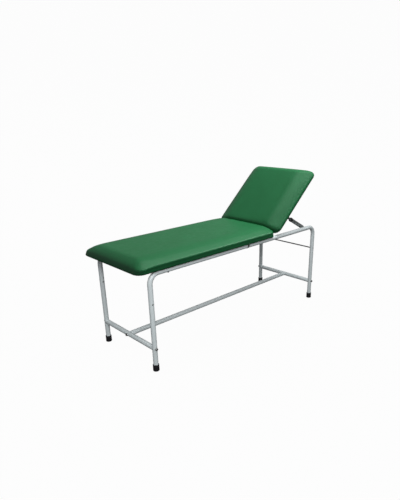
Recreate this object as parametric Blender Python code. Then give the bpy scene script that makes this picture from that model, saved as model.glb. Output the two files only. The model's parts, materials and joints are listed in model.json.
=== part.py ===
"""Two-section examination couch.

Two bent-tube side frames are bolted to a low H of crossbars and a centre stretcher. An upholstered
seat is screwed and strapped to the rails, and an upholstered backrest is hinged to the seat and held
up by two telescopic struts. Metres, +Z up, foot end at -X, head end at +X, near side at -Y.
"""

import math

import bmesh
import bpy
from mathutils import Matrix, Vector

# Clearance kept between pieces that touch.
GAP = 0.0003

# Frame: one stock of 1.25 inch tube throughout, and a 10 mm rod between the head legs.
LEG_SPACING = 1.650
FRAME_WIDTH = 0.560
RAIL_Z = 0.637
TUBE_R = 0.015875
TUBE_WALL = 0.0015
BEND_R = 0.0635
CROSSBAR_Z = 0.155
ROD_Z = 0.452
ROD_R = 0.005
ROD_END_PLAY = 0.0012
ROD_PROUD = 0.001
ROD_EASE = 0.001
RAIL_TIE_FROM_FOOT = 0.225
RAIL_TIE_FROM_HINGE = 0.096

# Rubber feet.
FERRULE_R = 0.0205
FERRULE_TOP_R = 0.0190
FERRULE_HEIGHT = 0.044
FERRULE_FLOOR = 0.008
FERRULE_TOP_EDGE = 0.001
FERRULE_BASE_EDGE = 0.0025
FERRULE_SKIRT_START = 0.014
FERRULE_SKIRT_END = 0.008

# M10 flange bolts and their threaded inserts.
BOLT_R = 0.005
BOLT_FLANGE_R = 0.010
BOLT_FLANGE_HEIGHT = 0.0022
BOLT_FLANGE_EDGE = 0.0010
BOLT_HEAD_FLAT = 0.015
BOLT_HEAD_HEIGHT = 0.009
HEXAGON_TOP_RATIO = 0.87
THREAD_CHAMFER = 0.001
INSERT_LENGTH = 0.022
INSERT_INSET = 0.006

# Seat fastenings: a screw up through each rail near the foot, and a strap round it near the hinge.
SEAT_SCREW_FROM_FOOT = 0.137
SEAT_SCREW_R = 0.003
SEAT_SCREW_HEAD_R = 0.0065
SEAT_SCREW_HEAD_HEIGHT = 0.0045
SEAT_SCREW_HEAD_EDGE = 0.0015
SEAT_SCREW_BITE = 0.012
SEAT_SCREW_POINT = 0.003
SEAT_SCREW_TIP_R = 0.001
SADDLE_FROM_FOOT = 0.835
SADDLE_WIDTH = 0.013
SADDLE_THICKNESS = 0.0015
SADDLE_EAR_REACH = 0.030

# Upholstery: board, foam and a vinyl cover that wraps under the board.
FOOT_OVERHANG = 0.098
PAD_HALF_WIDTH = 0.313
PAD_CORNER_R = 0.050
CORNER_TIGHTENING = 0.25
BOARD_THICKNESS = 0.015
COVER_THICKNESS = 0.001
COVER_LIP = 0.012
PAD_BOTTOM_R = 0.004
PAD_THICKNESS = 0.071
SEAT_SIDE_HEIGHT = 0.034
BACKREST_SIDE_HEIGHT = 0.018
CREST_R = 0.008
CREST_TURN_DEG = 60.0
CROWN_WIDTH = 0.135

# Backrest, described flat and measured from its hinge axis, then raised.
HINGE_FROM_FOOT = 1.141
HINGE_Z = 0.650
BACKREST_START = 0.015
BACKREST_END = 0.626
BACKREST_REST_DEG = 42.0

# Butt hinges.
HINGE_Y = 0.170
LEAF_WIDTH = 0.060
LEAF_LENGTH = 0.045
LEAF_THICKNESS = 0.002
KNUCKLE_R = 0.005
KNUCKLE_CLEARANCE = 0.0008
KNUCKLE_SPLIT = 0.010
HINGE_WEB = 0.003
HINGE_PIN_R = 0.0025
HINGE_PIN_LIP = 0.001
HINGE_PIN_DOME = 0.0015

# Telescopic struts, one beside each rail.
STRUT_Y = 0.2425
STRUT_FOOT_FROM_HEAD = 0.0927
STRUT_ARM = 0.2068
STRUT_DROP = 0.022
STRUT_TUBE_R = 0.015
STRUT_TUBE_WALL = 0.0015
STRUT_TUBE_START = 0.0135
STRUT_TUBE_END = 0.191
COLLAR_R = 0.0165
COLLAR_EDGE = 0.0015
COLLAR_START = 0.184
COLLAR_END = 0.198
STRUT_ROD_R = 0.009
STRUT_ROD_LENGTH = 0.174
STRUT_ROD_EASE = 0.001
SHOULDER_BELOW_EYE = 0.003
SHOULDER_INTO_EYE = 0.002
STRUT_PIN_R = 0.004
STRUT_PIN_PROUD = 0.001
STRUT_PIN_EASE = 0.0007
STRUT_EYE_R = 0.008
STRUT_EYE_WIDTH = 0.009
FOOT_EYE_R = 0.011
FOOT_EYE_WIDTH = 0.010
FOOT_NECK_SPAN = (0.006, 0.018)
FOOT_PLUG_SPAN = (0.0145, 0.028)
STUD_R = 0.005
STUD_ROOT = 0.004
STUD_PROUD = 0.002
SPACER_R = 0.008
NUT_FLAT = 0.016
NUT_HEIGHT = 0.006

# Slotted brackets under the backrest: the slot runs along the board.
BRACKET_THICKNESS = 0.002
BRACKET_INNER_HALF = 0.0173
SLOT_HALF_WIDTH = 0.0072
SLOT_TOWARDS_HINGE = 0.0262
SLOT_TOWARDS_TOP = 0.0102
SLOT_MARGIN = 0.006
CUT_MARGIN = 0.010

# Smoothness. Small pieces have a multiple of six sides, so that a hexagon keeps its corners.
SEGMENTS = 20
SMALL_SEGMENTS = 12
BEND_STEPS = 6
CORNER_STEPS = 5
CREST_STEPS = 3
CROWN_STEPS = 5
SADDLE_STEPS = 12
SHARP_ANGLE_DEG = 40.0

# Places worked out from the dimensions above. The box of the couch is centred on X = 0 and Y = 0.
HEAD_REACH = max(FERRULE_R, TUBE_R + GAP + BOLT_HEAD_HEIGHT)
OVERALL_LENGTH = FOOT_OVERHANG + LEG_SPACING + HEAD_REACH
FOOT_X = -OVERALL_LENGTH / 2 + FOOT_OVERHANG
HEAD_X = FOOT_X + LEG_SPACING
LEG_Y = FRAME_WIDTH / 2
LEG_BOTTOM = FERRULE_FLOOR + GAP
HINGE_X = FOOT_X + HINGE_FROM_FOOT
PAD_Z = RAIL_Z + TUBE_R + GAP
BOARD_Z = PAD_Z + COVER_THICKNESS + GAP
STRUT_FOOT_X = HEAD_X - STRUT_FOOT_FROM_HEAD
ENDS = {"foot": FOOT_X, "head": HEAD_X}
SIDES = {"near": -1, "far": 1}


def clear_scene():
    for item in list(bpy.data.objects):
        bpy.data.objects.remove(item, do_unlink=True)


def material(name, colour, roughness, metallic=0.0):
    made = bpy.data.materials.new(name)
    made.use_nodes = True
    made.diffuse_color = (*colour, 1.0)
    shader = made.node_tree.nodes["Principled BSDF"]
    shader.inputs["Base Color"].default_value = (*colour, 1.0)
    shader.inputs["Roughness"].default_value = roughness
    shader.inputs["Metallic"].default_value = metallic
    return made


def add_object(name, mesh, finish=None, parent=None):
    item = bpy.data.objects.new(name, mesh)
    bpy.context.scene.collection.objects.link(item)
    if finish:
        mesh.materials.append(finish)
    item.parent = parent
    return item


def pivot(name, location, tilt_deg):
    """An empty on a joint axis that runs along Y. A positive tilt lifts its +X side."""
    empty = add_object(name, None)
    empty.location = location
    empty.rotation_euler = (0, -math.radians(tilt_deg), 0)
    return empty


def loft(name, rings, finish=None, parent=None, wrap=False):
    """Closed solid through rings of equal point count. With wrap, the last ring joins the first."""
    shape = bmesh.new()
    loops = [[shape.verts.new(point) for point in ring] for ring in rings]
    pairs = list(zip(loops, loops[1:]))
    if wrap:
        pairs.append((loops[-1], loops[0]))
    else:
        shape.faces.new(loops[0])
        shape.faces.new(loops[-1])
    for low, high in pairs:
        for i in range(len(low)):
            j = (i + 1) % len(low)
            shape.faces.new((low[i], low[j], high[j], high[i]))
    bmesh.ops.recalc_face_normals(shape, faces=shape.faces)
    mesh = bpy.data.meshes.new(name)
    shape.to_mesh(mesh)
    shape.free()
    mesh.shade_smooth()
    mesh.set_sharp_from_angle(angle=math.radians(SHARP_ANGLE_DEG))
    return add_object(name, mesh, finish, parent)


def circle(radius, z, segments=SEGMENTS):
    turns = [2 * math.pi * i / segments for i in range(segments)]
    return [Vector((radius * math.cos(a), radius * math.sin(a), z)) for a in turns]


def hexagon(flat, z, segments=SMALL_SEGMENTS):
    """A hexagon with the point count of a circle, so that it lofts onto a round shank."""
    points = []
    for i in range(segments):
        turn = 2 * math.pi * i / segments
        off_flat = (turn % (math.pi / 3)) - math.pi / 6
        radius = flat / 2 / math.cos(off_flat)
        points.append(Vector((radius * math.cos(turn), radius * math.sin(turn), z)))
    return points


def turned(name, profile, finish=None, parent=None, wrap=False, segments=SEGMENTS):
    """Solid of revolution about Z through (radius, z) pairs."""
    return loft(name, [circle(r, z, segments) for r, z in profile], finish, parent, wrap)


def tube(name, outer, wall, start, end, finish, parent=None):
    inner = outer - wall
    profile = [(outer, start), (outer, end), (inner, end), (inner, start)]
    return turned(name, profile, finish, parent, wrap=True)


def prism(name, outline, half_depth, finish=None, parent=None, centre_y=0.0):
    """An outline of (x, z) points extruded along Y."""
    rings = [[Vector((x, centre_y + side * half_depth, z)) for x, z in outline] for side in (-1, 1)]
    return loft(name, rings, finish, parent)


def rectangle(x0, x1, z0, z1):
    return [(x0, z0), (x1, z0), (x1, z1), (x0, z1)]


def slot_outline(x0, x1, z, radius, steps=8):
    """A slot with round ends, whose end arcs are centred on x0 and x1."""
    points = []
    for centre, start in ((x1, -math.pi / 2), (x0, math.pi / 2)):
        for i in range(steps + 1):
            turn = start + math.pi * i / steps
            points.append((centre + radius * math.cos(turn), z + radius * math.sin(turn)))
    return points


def lay(item, axis, location):
    """Turns a solid built along Z so that it runs along the axis, and places it."""
    turn = Vector((0, 0, 1)).rotation_difference(Vector(axis))
    item.matrix_local = Matrix.Translation(location) @ turn.to_matrix().to_4x4()
    return item


def cutter(item):
    item.hide_render = True
    item.display_type = "WIRE"
    return item


def combine(target, other, operation):
    step = target.modifiers.new(f"{operation.lower()} {other.name}", "BOOLEAN")
    step.operation = operation
    step.object = cutter(other)
    step.solver = "EXACT"


def cut(target, *tools):
    for tool in tools:
        combine(target, tool, "DIFFERENCE")


def drill(name, radius, axis, start, length, segments=SMALL_SEGMENTS):
    """A cylinder to cut with: it starts at a point and runs along an axis."""
    return lay(turned(name, [(radius, 0), (radius, length)], segments=segments), axis, start)


# ---------------------------------------------------------------------------------------- frame


def side_frame_path():
    """(x, z, heading) along the centreline: up the foot leg, along the rail, down the head leg."""
    path = [(FOOT_X, LEG_BOTTOM, math.pi / 2)]
    corner_z = RAIL_Z - BEND_R
    for centre_x, first in ((FOOT_X + BEND_R, math.pi), (HEAD_X - BEND_R, math.pi / 2)):
        for i in range(BEND_STEPS + 1):
            turn = first - math.pi / 2 * i / BEND_STEPS
            x = centre_x + BEND_R * math.cos(turn)
            path.append((x, corner_z + BEND_R * math.sin(turn), turn - math.pi / 2))
    path.append((HEAD_X, LEG_BOTTOM, -math.pi / 2))
    return path


def side_frame_ring(x, z, heading, y, radius):
    sideways = Vector((-math.sin(heading), 0, math.cos(heading)))
    centre = Vector((x, y, z))
    turns = [2 * math.pi * i / SEGMENTS for i in range(SEGMENTS)]
    return [centre + radius * (math.cos(a) * Vector((0, 1, 0)) + math.sin(a) * sideways) for a in turns]


def side_frame(side, finish):
    y = SIDES[side] * LEG_Y
    path = side_frame_path()
    outer = [side_frame_ring(*spot, y, TUBE_R) for spot in path]
    inner = [side_frame_ring(*spot, y, TUBE_R - TUBE_WALL) for spot in reversed(path)]
    frame = loft(f"side_frame_{side}", outer + inner, finish, wrap=True)
    for end, x in ENDS.items():
        label = f"{end}_{side}"
        bolt_hole = (x, y - 2 * TUBE_R, CROSSBAR_Z)
        cut(frame, drill(f"cut_bolt_{label}", BOLT_R + GAP, (0, 1, 0), bolt_hole, 4 * TUBE_R))
        # The near legs are drilled right through for the paper roll rod, the far ones half way.
        rod_hole = (x, y - 2 * TUBE_R, ROD_Z)
        depth = 4 * TUBE_R if side == "near" else 2 * TUBE_R
        cut(frame, drill(f"cut_rod_{label}", ROD_R + GAP, (0, 1, 0), rod_hole, depth))
    start = (FOOT_X + SEAT_SCREW_FROM_FOOT, y, RAIL_Z - 2 * TUBE_R)
    cut(frame, drill(f"cut_screw_{side}", SEAT_SCREW_R + GAP, (0, 0, 1), start, 4 * TUBE_R))


def leg_shape(name, x, y):
    return drill(name, TUBE_R + GAP, (0, 0, 1), (x, y, LEG_BOTTOM), RAIL_Z, SEGMENTS)


def rail_shape(side):
    y = SIDES[side] * LEG_Y
    start = (FOOT_X, y, RAIL_Z)
    return drill(f"cut_rail_{side}", TUBE_R + GAP, (1, 0, 0), start, LEG_SPACING, SEGMENTS)


def cross_member(name, x, z, finish, shapes):
    """A tube along Y from side to side, its ends shaped to the tubes that it meets."""
    bar = tube(name, TUBE_R, TUBE_WALL, 0, FRAME_WIDTH, finish)
    lay(bar, (0, 1, 0), (x, -LEG_Y, z))
    cut(bar, *shapes)
    return bar


def crossbar(end, finish):
    x = ENDS[end]
    shapes = [leg_shape(f"cut_leg_{end}_{side}", x, sign * LEG_Y) for side, sign in SIDES.items()]
    bar = cross_member(f"crossbar_{end}", x, CROSSBAR_Z, finish, shapes)
    start = (x - 2 * TUBE_R, 0, CROSSBAR_Z)
    cut(bar, drill(f"cut_stretcher_bolt_{end}", BOLT_R + GAP, (1, 0, 0), start, 4 * TUBE_R))


def centre_stretcher(finish):
    stretcher = tube("centre_stretcher", TUBE_R, TUBE_WALL, 0, LEG_SPACING, finish)
    lay(stretcher, (1, 0, 0), (FOOT_X, 0, CROSSBAR_Z))
    for end, x in ENDS.items():
        start = (x, -4 * TUBE_R, CROSSBAR_Z)
        name = f"cut_crossbar_{end}"
        cut(stretcher, drill(name, TUBE_R + GAP, (0, 1, 0), start, 8 * TUBE_R, SEGMENTS))


def rubber_ferrule(label, x, y, finish):
    bore = TUBE_R + GAP
    profile = [
        (bore, FERRULE_FLOOR),
        (bore, FERRULE_HEIGHT),
        (FERRULE_TOP_R - FERRULE_TOP_EDGE, FERRULE_HEIGHT),
        (FERRULE_TOP_R, FERRULE_HEIGHT - FERRULE_TOP_EDGE),
        (FERRULE_TOP_R, FERRULE_SKIRT_START),
        (FERRULE_R, FERRULE_SKIRT_END),
        (FERRULE_R, FERRULE_BASE_EDGE),
        (FERRULE_R - FERRULE_BASE_EDGE, 0),
    ]
    ferrule = turned(f"rubber_ferrule_{label}", profile, finish)
    ferrule.location = (x, y, 0)


def flange_bolt(name, length, axis, location, finish):
    """The underside of the flange is at the location, and the shank runs along the axis."""
    rings = [
        hexagon(BOLT_HEAD_FLAT * HEXAGON_TOP_RATIO, -BOLT_HEAD_HEIGHT),
        hexagon(BOLT_HEAD_FLAT, -BOLT_HEAD_HEIGHT + THREAD_CHAMFER),
        hexagon(BOLT_HEAD_FLAT, -BOLT_FLANGE_HEIGHT),
        circle(BOLT_FLANGE_R, -BOLT_FLANGE_EDGE, SMALL_SEGMENTS),
        circle(BOLT_FLANGE_R, 0, SMALL_SEGMENTS),
        circle(BOLT_R, 0, SMALL_SEGMENTS),
        circle(BOLT_R, length - THREAD_CHAMFER, SMALL_SEGMENTS),
        circle(BOLT_R - THREAD_CHAMFER, length, SMALL_SEGMENTS),
    ]
    return lay(loft(name, rings, finish), axis, location)


def threaded_insert(name, axis, location, finish):
    outer = TUBE_R - TUBE_WALL - GAP
    bore = BOLT_R + GAP
    profile = [(outer, 0), (outer, INSERT_LENGTH), (bore, INSERT_LENGTH), (bore, 0)]
    insert = turned(name, profile, finish, wrap=True, segments=SMALL_SEGMENTS)
    return lay(insert, axis, location)


def leg_fastening(end, side, bolt_finish, insert_finish):
    sign = SIDES[side]
    inward = (0, -sign, 0)
    head_y = sign * (LEG_Y + TUBE_R + GAP)
    insert_y = sign * (LEG_Y - TUBE_R - INSERT_INSET)
    length = 2 * TUBE_R + GAP + INSERT_INSET + INSERT_LENGTH
    x = ENDS[end]
    label = f"{end}_{side}"
    flange_bolt(f"leg_bolt_{label}", length, inward, (x, head_y, CROSSBAR_Z), bolt_finish)
    threaded_insert(f"crossbar_insert_{label}", inward, (x, insert_y, CROSSBAR_Z), insert_finish)


def stretcher_fastening(end, bolt_finish, insert_finish):
    sign = -1 if end == "foot" else 1
    inward = (-sign, 0, 0)
    head_x = ENDS[end] + sign * (TUBE_R + GAP)
    insert_x = ENDS[end] - sign * (TUBE_R + INSERT_INSET)
    length = 2 * TUBE_R + GAP + INSERT_INSET + INSERT_LENGTH
    flange_bolt(f"stretcher_bolt_{end}", length, inward, (head_x, 0, CROSSBAR_Z), bolt_finish)
    threaded_insert(f"stretcher_insert_{end}", inward, (insert_x, 0, CROSSBAR_Z), insert_finish)


def paper_roll_rod(finish):
    """It drops through the near head leg and stops against the outer wall of the far one."""
    far_y = LEG_Y + TUBE_R - TUBE_WALL - ROD_END_PLAY
    near_y = -LEG_Y - TUBE_R - ROD_PROUD
    length = far_y - near_y
    ease = ROD_EASE
    profile = [(ROD_R - ease, 0), (ROD_R, ease), (ROD_R, length - ease), (ROD_R - ease, length)]
    rod = turned("paper_roll_rod", profile, finish)
    lay(rod, (0, 1, 0), (HEAD_X, near_y, ROD_Z))


# ----------------------------------------------------------------------------------- upholstery


def rounded_outline(x0, x1, half_width, radius, z):
    points = []
    centres = (
        (x1 - radius, half_width - radius),
        (x0 + radius, half_width - radius),
        (x0 + radius, radius - half_width),
        (x1 - radius, radius - half_width),
    )
    for quarter, (x, y) in enumerate(centres):
        for i in range(CORNER_STEPS + 1):
            turn = math.pi / 2 * (quarter + i / CORNER_STEPS)
            points.append(Vector((x + radius * math.cos(turn), y + radius * math.sin(turn), z)))
    return points


def pad_outline(span, inset, z):
    radius = PAD_CORNER_R - CORNER_TIGHTENING * inset
    return rounded_outline(span[0] + inset, span[1] - inset, PAD_HALF_WIDTH - inset, radius, z)


def crown(side_height):
    """(inset, height) pairs from the top of the pad's side, over its crest, to the flat of its top."""
    pairs = []
    for i in range(CREST_STEPS + 1):
        turn = math.radians(CREST_TURN_DEG) * i / CREST_STEPS
        inset = CREST_R * (1 - math.cos(turn))
        pairs.append((inset, side_height + CREST_R * math.sin(turn)))
    crest_inset, crest_height = pairs[-1]
    for i in range(1, CROWN_STEPS + 1):
        along = i / CROWN_STEPS
        rise = 1 - (1 - along) ** 2
        inset = crest_inset + (CROWN_WIDTH - crest_inset) * along
        pairs.append((inset, crest_height + (PAD_THICKNESS - crest_height) * rise))
    return pairs


def shell_profile(depth, side_height):
    """(inset, height) pairs of the pad's skin, that far inside its outer face, from lip to crown."""
    eased = depth + PAD_BOTTOM_R * (1 - math.sqrt(0.5))
    pairs = [(COVER_LIP, depth), (PAD_BOTTOM_R + depth, depth)]
    pairs.append((eased, eased))
    pairs.append((depth, PAD_BOTTOM_R + depth))
    pairs += [(inset + depth, height - depth) for inset, height in crown(side_height)]
    return pairs


def pad(prefix, span, side_height, bottom_z, finishes, parent=None):
    """Board, foam and cover of one cushion that lies flat, with its underside at bottom_z."""

    def rings(pairs):
        return [pad_outline(span, inset, bottom_z + height) for inset, height in pairs]

    skin = COVER_THICKNESS
    lining = skin + GAP
    cover_rings = rings(shell_profile(skin, side_height)[::-1] + shell_profile(0, side_height))
    loft(f"{prefix}_cover", cover_rings, finishes["vinyl"], parent)

    board_inset = lining + PAD_BOTTOM_R
    board_top = lining + BOARD_THICKNESS
    board_rings = rings([(board_inset, lining), (board_inset, board_top)])
    board = loft(f"{prefix}_board", board_rings, finishes["wood"], parent)

    foam_pairs = [(lining, board_top + GAP)]
    foam_pairs += [(inset + lining, height - lining) for inset, height in crown(side_height)]
    loft(f"{prefix}_foam", rings(foam_pairs), finishes["foam"], parent)
    return board


def seat(finishes):
    span = (FOOT_X - FOOT_OVERHANG, HINGE_X - BACKREST_START)
    board = pad("seat", span, SEAT_SIDE_HEIGHT, PAD_Z, finishes)
    x = FOOT_X + SEAT_SCREW_FROM_FOOT
    depth = BOARD_Z - RAIL_Z + SEAT_SCREW_BITE + GAP
    for side, sign in SIDES.items():
        start = (x, sign * LEG_Y, RAIL_Z)
        cut(board, drill(f"cut_board_{side}", SEAT_SCREW_R + GAP, (0, 0, 1), start, depth))
        seat_screw(side, finishes["dark"])
        seat_saddle(side, finishes["dark"])


def seat_screw(side, finish):
    """It goes up through the rail into the board, with its pan head under the rail."""
    seat_z = RAIL_Z - TUBE_R - GAP
    head, head_r, edge = SEAT_SCREW_HEAD_HEIGHT, SEAT_SCREW_HEAD_R, SEAT_SCREW_HEAD_EDGE
    top = BOARD_Z + SEAT_SCREW_BITE - seat_z
    profile = [
        (head_r - edge, -head),
        (head_r, -head + edge),
        (head_r, 0),
        (SEAT_SCREW_R, 0),
        (SEAT_SCREW_R, top - SEAT_SCREW_POINT),
        (SEAT_SCREW_TIP_R, top),
    ]
    screw = turned(f"seat_screw_{side}", profile, finish, segments=SMALL_SEGMENTS)
    screw.location = (FOOT_X + SEAT_SCREW_FROM_FOOT, SIDES[side] * LEG_Y, seat_z)


def half_turn(radius, backwards=False):
    """(y, z) points round the underside of the rail."""
    steps = range(SADDLE_STEPS, -1, -1) if backwards else range(SADDLE_STEPS + 1)
    turns = [math.pi * (1 + i / SADDLE_STEPS) for i in steps]
    return [(radius * math.cos(a), radius * math.sin(a)) for a in turns]


def seat_saddle(side, finish):
    """A strap round the underside of the rail, with an ear on each side under the seat board."""
    inner = TUBE_R + GAP
    outer = inner + SADDLE_THICKNESS
    top = TUBE_R
    low = top - SADDLE_THICKNESS
    outline = [(-SADDLE_EAR_REACH, top), (-SADDLE_EAR_REACH, low), (-outer, low)]
    outline += half_turn(outer)
    outline += [(outer, low), (SADDLE_EAR_REACH, low), (SADDLE_EAR_REACH, top), (inner, top)]
    outline += half_turn(inner, backwards=True)
    outline.append((-inner, top))
    ends = (-SADDLE_WIDTH / 2, SADDLE_WIDTH / 2)
    rings = [[Vector((x, y, z)) for y, z in outline] for x in ends]
    saddle = loft(f"seat_saddle_{side}", rings, finish)
    saddle.location = (FOOT_X + SADDLE_FROM_FOOT, SIDES[side] * LEG_Y, RAIL_Z)


# ---------------------------------------------------------------------------------------- hinges


def hinge_leaf(name, towards, spans, y, finish, parent):
    """One leaf, built about the hinge axis. Its plate points along +X or -X."""
    top = PAD_Z - HINGE_Z - GAP
    clear = KNUCKLE_R + KNUCKLE_CLEARANCE
    half = LEAF_WIDTH / 2
    low, high = sorted((towards * clear, towards * LEAF_LENGTH))
    plate_outline = rectangle(low, high, top - LEAF_THICKNESS, top)
    leaf = prism(name, plate_outline, half, finish, parent, centre_y=y)
    web_low, web_high = sorted((0, towards * (clear + HINGE_WEB)))
    for i, (start, end) in enumerate(spans):
        middle = y + (start + end) / 2
        web_outline = rectangle(web_low, web_high, top - LEAF_THICKNESS, top)
        web = prism(f"join_web_{name}_{i}", web_outline, (end - start) / 2, None, parent, middle)
        combine(leaf, web, "UNION")
        knuckle = turned(f"join_knuckle_{name}_{i}", [(KNUCKLE_R, start), (KNUCKLE_R, end)])
        knuckle.parent = parent
        lay(knuckle, (0, 1, 0), (0, y, 0))
        combine(leaf, knuckle, "UNION")
    start = (0, y - LEAF_WIDTH, 0)
    bore = drill(f"cut_bore_{name}", HINGE_PIN_R + GAP, (0, 1, 0), start, 2 * LEAF_WIDTH)
    bore.parent = parent
    cut(leaf, bore)


def butt_hinge(side, finish, seat_pivot, back_pivot):
    y = SIDES[side] * HINGE_Y
    half = LEAF_WIDTH / 2
    outer_spans = [(-half, -KNUCKLE_SPLIT - GAP), (KNUCKLE_SPLIT + GAP, half)]
    inner_spans = [(-KNUCKLE_SPLIT, KNUCKLE_SPLIT)]
    hinge_leaf(f"hinge_seat_leaf_{side}", -1, outer_spans, y, finish, seat_pivot)
    hinge_leaf(f"hinge_back_leaf_{side}", 1, inner_spans, y, finish, back_pivot)
    reach = half + GAP
    lip = HINGE_PIN_R + HINGE_PIN_LIP
    profile = [
        (HINGE_PIN_R, -reach - HINGE_PIN_DOME),
        (lip, -reach),
        (HINGE_PIN_R, -reach),
        (HINGE_PIN_R, reach),
        (lip, reach),
        (HINGE_PIN_R, reach + HINGE_PIN_DOME),
    ]
    pin = turned(f"hinge_pin_{side}", profile, finish, seat_pivot, segments=SMALL_SEGMENTS)
    lay(pin, (0, 1, 0), (0, y, 0))


# ---------------------------------------------------------------------------------------- struts


def strut_ends():
    """World (x, z) of the strut's two pivots with the backrest at its rest angle."""
    turn = math.radians(BACKREST_REST_DEG)
    top_x = HINGE_X + STRUT_ARM * math.cos(turn) + STRUT_DROP * math.sin(turn)
    top_z = HINGE_Z + STRUT_ARM * math.sin(turn) - STRUT_DROP * math.cos(turn)
    return (STRUT_FOOT_X, RAIL_Z), (top_x, top_z)


def strut_length_and_tilt():
    """Rest length, and the angle from vertical by which the strut leans back over the seat."""
    foot, top = strut_ends()
    rise, run = top[1] - foot[1], top[0] - foot[0]
    return math.hypot(rise, run), math.degrees(math.atan2(-run, rise))


def eye(name, radius, width, bore, parts, finish, parent, z=0.0):
    """A round eye across the strut at height z, joined to the other parts, then bored."""
    ring = turned(name, [(radius, -width / 2), (radius, width / 2)], finish, parent)
    lay(ring, (0, 1, 0), (0, 0, z))
    for part in parts:
        combine(ring, part, "UNION")
    hole = drill(f"cut_{name}", bore, (0, 1, 0), (0, -width, z), 2 * width)
    hole.parent = parent
    cut(ring, hole)


def strut_foot_fitting(side, finish, parent):
    neck_r = FOOT_EYE_WIDTH / 2 - GAP
    plug_r = STRUT_TUBE_R - STRUT_TUBE_WALL - GAP
    neck = turned(f"join_foot_neck_{side}", [(neck_r, z) for z in FOOT_NECK_SPAN])
    plug = turned(f"join_foot_plug_{side}", [(plug_r, z) for z in FOOT_PLUG_SPAN])
    for part in (neck, plug):
        part.parent = parent
    name = f"strut_foot_eye_{side}"
    eye(name, FOOT_EYE_R, FOOT_EYE_WIDTH, STUD_R + GAP, (neck, plug), finish, parent)


def strut_collar(side, finish, parent):
    over_tube = STRUT_TUBE_R + GAP
    over_rod = STRUT_ROD_R + GAP
    profile = [
        (COLLAR_R, COLLAR_START),
        (COLLAR_R, COLLAR_END - COLLAR_EDGE),
        (COLLAR_R - COLLAR_EDGE, COLLAR_END),
        (over_rod, COLLAR_END),
        (over_rod, STRUT_TUBE_END + GAP),
        (over_tube, STRUT_TUBE_END + GAP),
        (over_tube, COLLAR_START),
    ]
    turned(f"strut_collar_{side}", profile, finish, parent, wrap=True)


def strut_rod(side, length, finishes, parent):
    """The sliding rod ends in an eye on the strut's upper pivot, which carries the cross pin."""
    low = length - STRUT_ROD_LENGTH
    shoulder = length - STRUT_EYE_R
    profile = [
        (STRUT_ROD_R - STRUT_ROD_EASE, low),
        (STRUT_ROD_R, low + STRUT_ROD_EASE),
        (STRUT_ROD_R, shoulder - SHOULDER_BELOW_EYE),
        (STRUT_EYE_WIDTH / 2, shoulder + SHOULDER_INTO_EYE),
    ]
    shaft = turned(f"join_rod_shaft_{side}", profile)
    shaft.parent = parent
    bore = STRUT_PIN_R + GAP
    name = f"strut_rod_{side}"
    eye(name, STRUT_EYE_R, STRUT_EYE_WIDTH, bore, (shaft,), finishes["steel"], parent, length)
    reach = BRACKET_INNER_HALF + BRACKET_THICKNESS + STRUT_PIN_PROUD
    ease = STRUT_PIN_EASE
    pin_profile = [
        (STRUT_PIN_R - ease, -reach),
        (STRUT_PIN_R, -reach + ease),
        (STRUT_PIN_R, reach - ease),
        (STRUT_PIN_R - ease, reach),
    ]
    name = f"strut_cross_pin_{side}"
    pin = turned(name, pin_profile, finishes["zinc"], parent, segments=SMALL_SEGMENTS)
    lay(pin, (0, 1, 0), (0, 0, length))


def strut(side, finishes):
    length, lean = strut_length_and_tilt()
    y = SIDES[side] * STRUT_Y
    turning = pivot(f"strut_pivot_{side}", (STRUT_FOOT_X, y, RAIL_Z), lean)
    strut_foot_fitting(side, finishes["steel"], turning)
    outer, wall = STRUT_TUBE_R, STRUT_TUBE_WALL
    tube_span = (STRUT_TUBE_START, STRUT_TUBE_END)
    tube(f"strut_tube_{side}", outer, wall, *tube_span, finishes["steel"], turning)
    strut_collar(side, finishes["black"], turning)
    strut_rod(side, length, finishes, turning)


def strut_stud(side, rail, finishes):
    """The stud is welded to the inside of the rail, and a spacer and a nut hold the strut on it."""
    sign = SIDES[side]
    inward = (0, -sign, 0)
    rail_face = LEG_Y - TUBE_R
    eye_outer = STRUT_Y + FOOT_EYE_WIDTH / 2
    eye_inner = STRUT_Y - FOOT_EYE_WIDTH / 2
    stud_end = eye_inner - NUT_HEIGHT - STUD_PROUD
    stud_start = rail_face + STUD_ROOT
    start = (STRUT_FOOT_X, sign * stud_start, RAIL_Z)
    length = stud_start - stud_end
    stud_profile = [(STUD_R, 0), (STUD_R, length)]
    name = f"strut_stud_{side}"
    stud = turned(name, stud_profile, finishes["zinc"], segments=SMALL_SEGMENTS)
    lay(stud, inward, start)
    cut(stud, rail)
    bore = STUD_R + GAP

    spacer_length = rail_face - eye_outer - 2 * GAP
    name = f"strut_spacer_{side}"
    wall = SPACER_R - bore
    spacer = tube(name, SPACER_R, wall, 0, spacer_length, finishes["black"])
    lay(spacer, inward, (STRUT_FOOT_X, sign * (rail_face - GAP), RAIL_Z))

    rings = [
        hexagon(NUT_FLAT, 0),
        hexagon(NUT_FLAT, NUT_HEIGHT - THREAD_CHAMFER),
        hexagon(NUT_FLAT * HEXAGON_TOP_RATIO, NUT_HEIGHT),
        circle(bore, NUT_HEIGHT, SMALL_SEGMENTS),
        circle(bore, 0, SMALL_SEGMENTS),
    ]
    nut = loft(f"strut_nut_{side}", rings, finishes["zinc"], wrap=True)
    lay(nut, inward, (STRUT_FOOT_X, sign * (eye_inner - GAP), RAIL_Z))


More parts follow.
